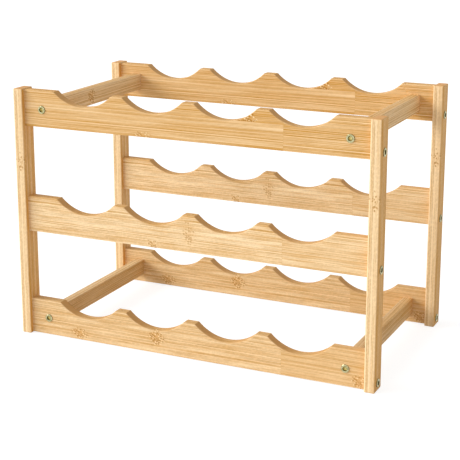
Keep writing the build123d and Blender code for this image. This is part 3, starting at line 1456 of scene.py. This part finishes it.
@dataclass
class Dowels:
    """Fluted dowels between the posts and the rails."""

    fixings: Fixings  # their sizes
    groove_share: float = 0.3  # how much of the way round each groove takes

    def add_dowel(self, bm: BMesh, place: Matrix) -> None:
        """Adds one dowel: a fluted rod with eased ends.

        Args:
            bm: the mesh to add to.
            place: where it goes, with its rail end down the matrix's Z.
        """
        fix = self.fixings
        radius = fix.dowel_diameter / 2
        lift = (fix.dowel_bite - fix.dowel_grip) / 2
        verts = bmesh.ops.create_cone(
            bm, cap_ends=True, segments=4 * fix.flutes, radius1=radius, radius2=radius,
            depth=fix.dowel_grip + fix.dowel_bite, matrix=Matrix.Translation((0, 0, lift)))["verts"]
        for face in [f for f in {f for v in verts for f in v.link_faces} if len(f.verts) > 4]:
            outward = math.copysign(1.0, face.calc_center_median().z - lift)
            bmesh.ops.inset_region(bm, faces=[face], thickness=fix.dowel_chamfer, depth=0)
            rim = {v for f in face.edges for v in f.verts}
            outer = {v for inner in rim for e in inner.link_edges for v in e.verts} - rim
            bmesh.ops.translate(bm, vec=(0, 0, -outward * fix.dowel_chamfer), verts=list(outer))
        fresh = connected(next(v for v in verts if v.is_valid))
        for vert in fresh:
            turn = math.atan2(vert.co.y, vert.co.x) / math.tau * fix.flutes % 1.0
            if vert.co.xy.length > radius - NEAR and turn < self.groove_share:
                vert.co.xy *= 1 - fix.flute_depth / radius
        bmesh.ops.transform(bm, matrix=place, verts=fresh)

    def build(self, material: Material) -> list[Object]:
        """Makes every dowel.

        Args:
            material: their finish.

        Returns:
            The pieces, one for each post.
        """
        fix = self.fixings
        made = []
        for face, side in product(Face, Side):
            node = f"{face.word}_{side.word}_dowels"
            bm = bmesh.new()
            for level in Level:
                rail = Board.rail(face, level)
                self.add_dowel(bm, fix.rail_end(rail, side, fix.dowel_height(rail)))
            bmesh.ops.recalc_face_normals(bm, faces=bm.faces)
            made.append(as_object(bm, f"{node}_birch"))
            stand_in(made[-1], node, material)
        return made


# ------------------------------------------------------------------------------ studio
@dataclass(frozen=True)
class Lamp:
    """A wide soft light, far away."""

    name: str  # its name
    strength: float  # how bright it is
    toward: tuple[float, float, float]  # the way from the rack to it
    spread: float = 30.0  # how wide it looks from the rack, in degrees

    def hang(self) -> None:
        """Hangs it in the studio."""
        sun = bpy.data.lights.new(self.name, "SUN")
        sun.angle = math.radians(self.spread)
        sun.energy = self.strength
        turn = Vector(self.toward).to_track_quat("Z", "Y")
        add_object(sun, self.toward).rotation_euler = turn.to_euler()


@dataclass
class Studio:
    """Plain pale floor, soft light and the camera."""

    ambient: float = 0.56  # strength of the white surroundings as light
    floor_tone: Colour = (0.8, 0.8, 0.8)  # the floor's own colour
    # the part of that colour that the camera sees, so that shadows stay pale
    seen_tone: Colour = (0.4, 0.4, 0.4)
    # what is added to the floor for the camera alone, so that it shows white
    floor_glow: float = 0.78
    # the soft lights
    lamps: tuple[Lamp, ...] = (Lamp("key", 2.1, (-0.85, -0.3, 0.5)),
                               Lamp("fill", 0.78, (-0.6, -0.75, 0.25)))
    camera_place: tuple[float, float, float] = (0.594, -1.281, 0.524)  # where the camera stands
    camera_yaw: float = 25.02  # how far it turns to the left, in degrees
    camera_pitch: float = 13.95  # how far it looks down, in degrees
    lens: float = 99.3  # its focal length in millimetres, on a sensor 36 mm wide
    # how far the picture is shifted, as a share of its width
    shift: tuple[float, float] = (0.0, -0.1)

    @staticmethod
    def seen_rays(g: Graph) -> NodeSocket:
        """Tells what is seen from what is light.

        Args:
            g: the graph to add to.

        Returns:
            1 for rays that come from the camera, a reflection or glass, and 0 for light.
        """
        rays = g.add("LightPath").outputs
        seen = g.math("MAXIMUM", rays["Is Camera Ray"], rays["Is Glossy Ray"])
        return g.math("MAXIMUM", seen, rays["Is Transmission Ray"])

    def build(self) -> None:
        """Sets up the floor, the light and the camera."""
        self.make_floor()
        self.make_surroundings()
        for lamp in self.lamps:
            lamp.hang()
        self.make_camera()

    def make_floor(self) -> None:
        """Lays a wide pale floor that shows white and keeps the rack's shadow."""
        half_width = 12.0
        bm = bmesh.new()
        bmesh.ops.create_grid(bm, x_segments=1, y_segments=1, size=half_width)
        floor = as_object(bm, "floor")
        g = Surface("pale_floor")
        seen = self.seen_rays(g)
        g.coat(Base_Color=g.mix(seen, self.floor_tone, self.seen_tone), Roughness=1.0,
               Specular_IOR_Level=0.0)
        glow = g.add("Emission", {"Color": (1.0, 1.0, 1.0),
                                  "Strength": g.math("MULTIPLY", seen, self.floor_glow)})
        both = g.add("AddShader", {0: g.shader.outputs[0], 1: glow.outputs[0]})
        g.feed(g.tree.nodes["Material Output"].inputs["Surface"], both.outputs[0])
        floor.data.materials.append(g.material)

    def make_surroundings(self) -> None:
        """Makes the world plain white to the eye, and softer as light."""
        world = bpy.data.worlds.new("white_studio")
        world.use_nodes = True
        bpy.context.scene.world = world
        g = Graph(world.node_tree)
        back = world.node_tree.nodes["Background"]
        back.inputs["Color"].default_value = (1.0, 1.0, 1.0, 1.0)
        seen = self.seen_rays(g)
        g.feed(back.inputs["Strength"], g.math("MULTIPLY_ADD", seen, 1 - self.ambient,
                                               self.ambient))

    def make_camera(self) -> None:
        """Stands the camera to the right and above, looking across the front."""
        lens = bpy.data.cameras.new("camera")
        lens.sensor_width = 36.0
        lens.lens = self.lens
        lens.shift_x, lens.shift_y = self.shift
        camera = add_object(lens, self.camera_place)
        camera.rotation_euler = (math.radians(90 - self.camera_pitch), 0.0,
                                 math.radians(self.camera_yaw))
        bpy.context.scene.camera = camera
        bpy.context.scene.view_settings.view_transform = "Standard"


# ------------------------------------------------------------------------------ boards' bamboo
RAIL_JOINT = 312.5 * MM  # where a rail's strips are joined, from its left end
UPPER_STRIP = (27.3 * MM, 1.0)  # a rail's highest strip, and anything over it

RAIL_BAMBOO = {
    Level.TOP: Bamboo(
        "rail_bamboo_top", tones=(0.65, 0.65, 0.65), tones_past_joint=(0.7, 0.72, 0.64),
        butt_joint=RAIL_JOINT, gain_past_joint=1.2, cloud=0.6, dashes=0.45,
        narrow_face_tone=0.9, seed=3.0,
        marks=(NodeMark((264.5 * MM, 31.5 * MM, 0), (18 * MM, 13 * MM, 18 * MM),
                        floor=UPPER_STRIP[0], patch=0.65, density=2.6),
               NodeMark((149 * MM, 2 * MM, 0), (12 * MM, 4 * MM, 6 * MM), 0.7)),
        shades=(Shade((268 * MM, RAIL_JOINT), UPPER_STRIP, 0.18),)),
    Level.MIDDLE: Bamboo(
        "rail_bamboo_middle", tones=(0.38, 0.27, 0.34), tones_past_joint=(0.38, 0.36, 0.36),
        butt_joint=RAIL_JOINT, depth=1.05, gain_past_joint=0.8, cloud=1.3, run=0.5, dashes=0.8,
        narrow_face_tone=0.8, seed=11.0,
        marks=(NodeMark((203 * MM, 20 * MM, 0), (10 * MM, 14 * MM, 9 * MM), 0.62, patch=0.2,
                        density=0.45),
               NodeMark((160 * MM, 4 * MM, 0), (7 * MM, 5 * MM, 6 * MM), 0.8, patch=0.2))),
    Level.BOTTOM: Bamboo(
        "rail_bamboo_bottom", tones=(0.48, 0.44, 0.44), tones_past_joint=(0.53, 0.53, 0.53),
        butt_joint=RAIL_JOINT, gain_past_joint=0.7, cloud=0.9, run=0.6, dashes=0.8,
        narrow_face_tone=0.76, lightness=0.97, seed=23.0,
        marks=(NodeMark((162 * MM, 18.5 * MM, 0), (11 * MM, 9 * MM, 8 * MM), 0.9, patch=0.4,
                        density=1.2),
               NodeMark((63 * MM, 8 * MM, 0), (12 * MM, 7 * MM, 8 * MM), 0.8, patch=0.4),
               NodeMark((399 * MM, 8 * MM, 0), (9 * MM, 7 * MM, 8 * MM), 0.8))),
}

POST_TONES = {Side.LEFT: (0.66, 0.34, 0.56, 0.28, 0.58, 0.4), Side.RIGHT: (0.75, 0.5, 0.68)}
POST_BAMBOO = {
    side: Bamboo(
        f"post_bamboo_{side.word}", strips=len(tones), plies=4, tones=tones, skin_tone=0.5,
        narrow_face_tone=0.22, narrow_face_light=0.95, lightness=1.05, depth=0.75, cloud=0.3,
        run=0.6, dashes=1.3, seed=41.0,
        marks=(NodeMark((203 * MM, 0, 5 * MM), (12 * MM, 6 * MM, 10 * MM), 0.7, patch=0.1,
                        density=0.36),))
    for side, tones in POST_TONES.items()}

# each bar's own tone, that of its narrow faces, and its lightness
BAR_TONES = {
    (Level.TOP, Side.LEFT): (0.45, 0.8, 0.94), (Level.TOP, Side.RIGHT): (0.42, 0.75, 0.98),
    (Level.BOTTOM, Side.LEFT): (0.75, 0.42, 0.93), (Level.BOTTOM, Side.RIGHT): (0.72, 0.65, 0.96)}
BAR_BAMBOO = {
    (level, side): Bamboo(
        f"bar_bamboo_{level.value}_{side.word}", strips=2, tones=(tone, tone), cloud=0.6,
        dashes=0.6, narrow_face_tone=upper, lightness=light, seed=61.0 + 7 * number,
        marks=(NodeMark((86 * MM, 11 * MM, 11.5 * MM), (10 * MM, 9 * MM, 9 * MM), patch=0.4,
                        density=1.2),)
        if side is Side.LEFT and level is Level.TOP else ())
    for number, ((level, side), (tone, upper, light)) in enumerate(BAR_TONES.items())
}


def main() -> None:
    """Builds the rack's looks and the studio around the frame."""
    logging.basicConfig(level=logging.INFO, format="%(name)s %(message)s")
    effects = Effects()
    joinery = Joinery()
    for face in Face:
        pieces = LadderFrame(face, effects, joinery).build()
        log.info("%s frame: %d boards", face.word, len(pieces))
    CrossBars(effects, joinery).build()
    Screws(joinery.fixings).build(Zinc())
    Dowels(joinery.fixings).build(Birch().material(effects))
    Studio().build()


if __name__ == "__main__":
    main()
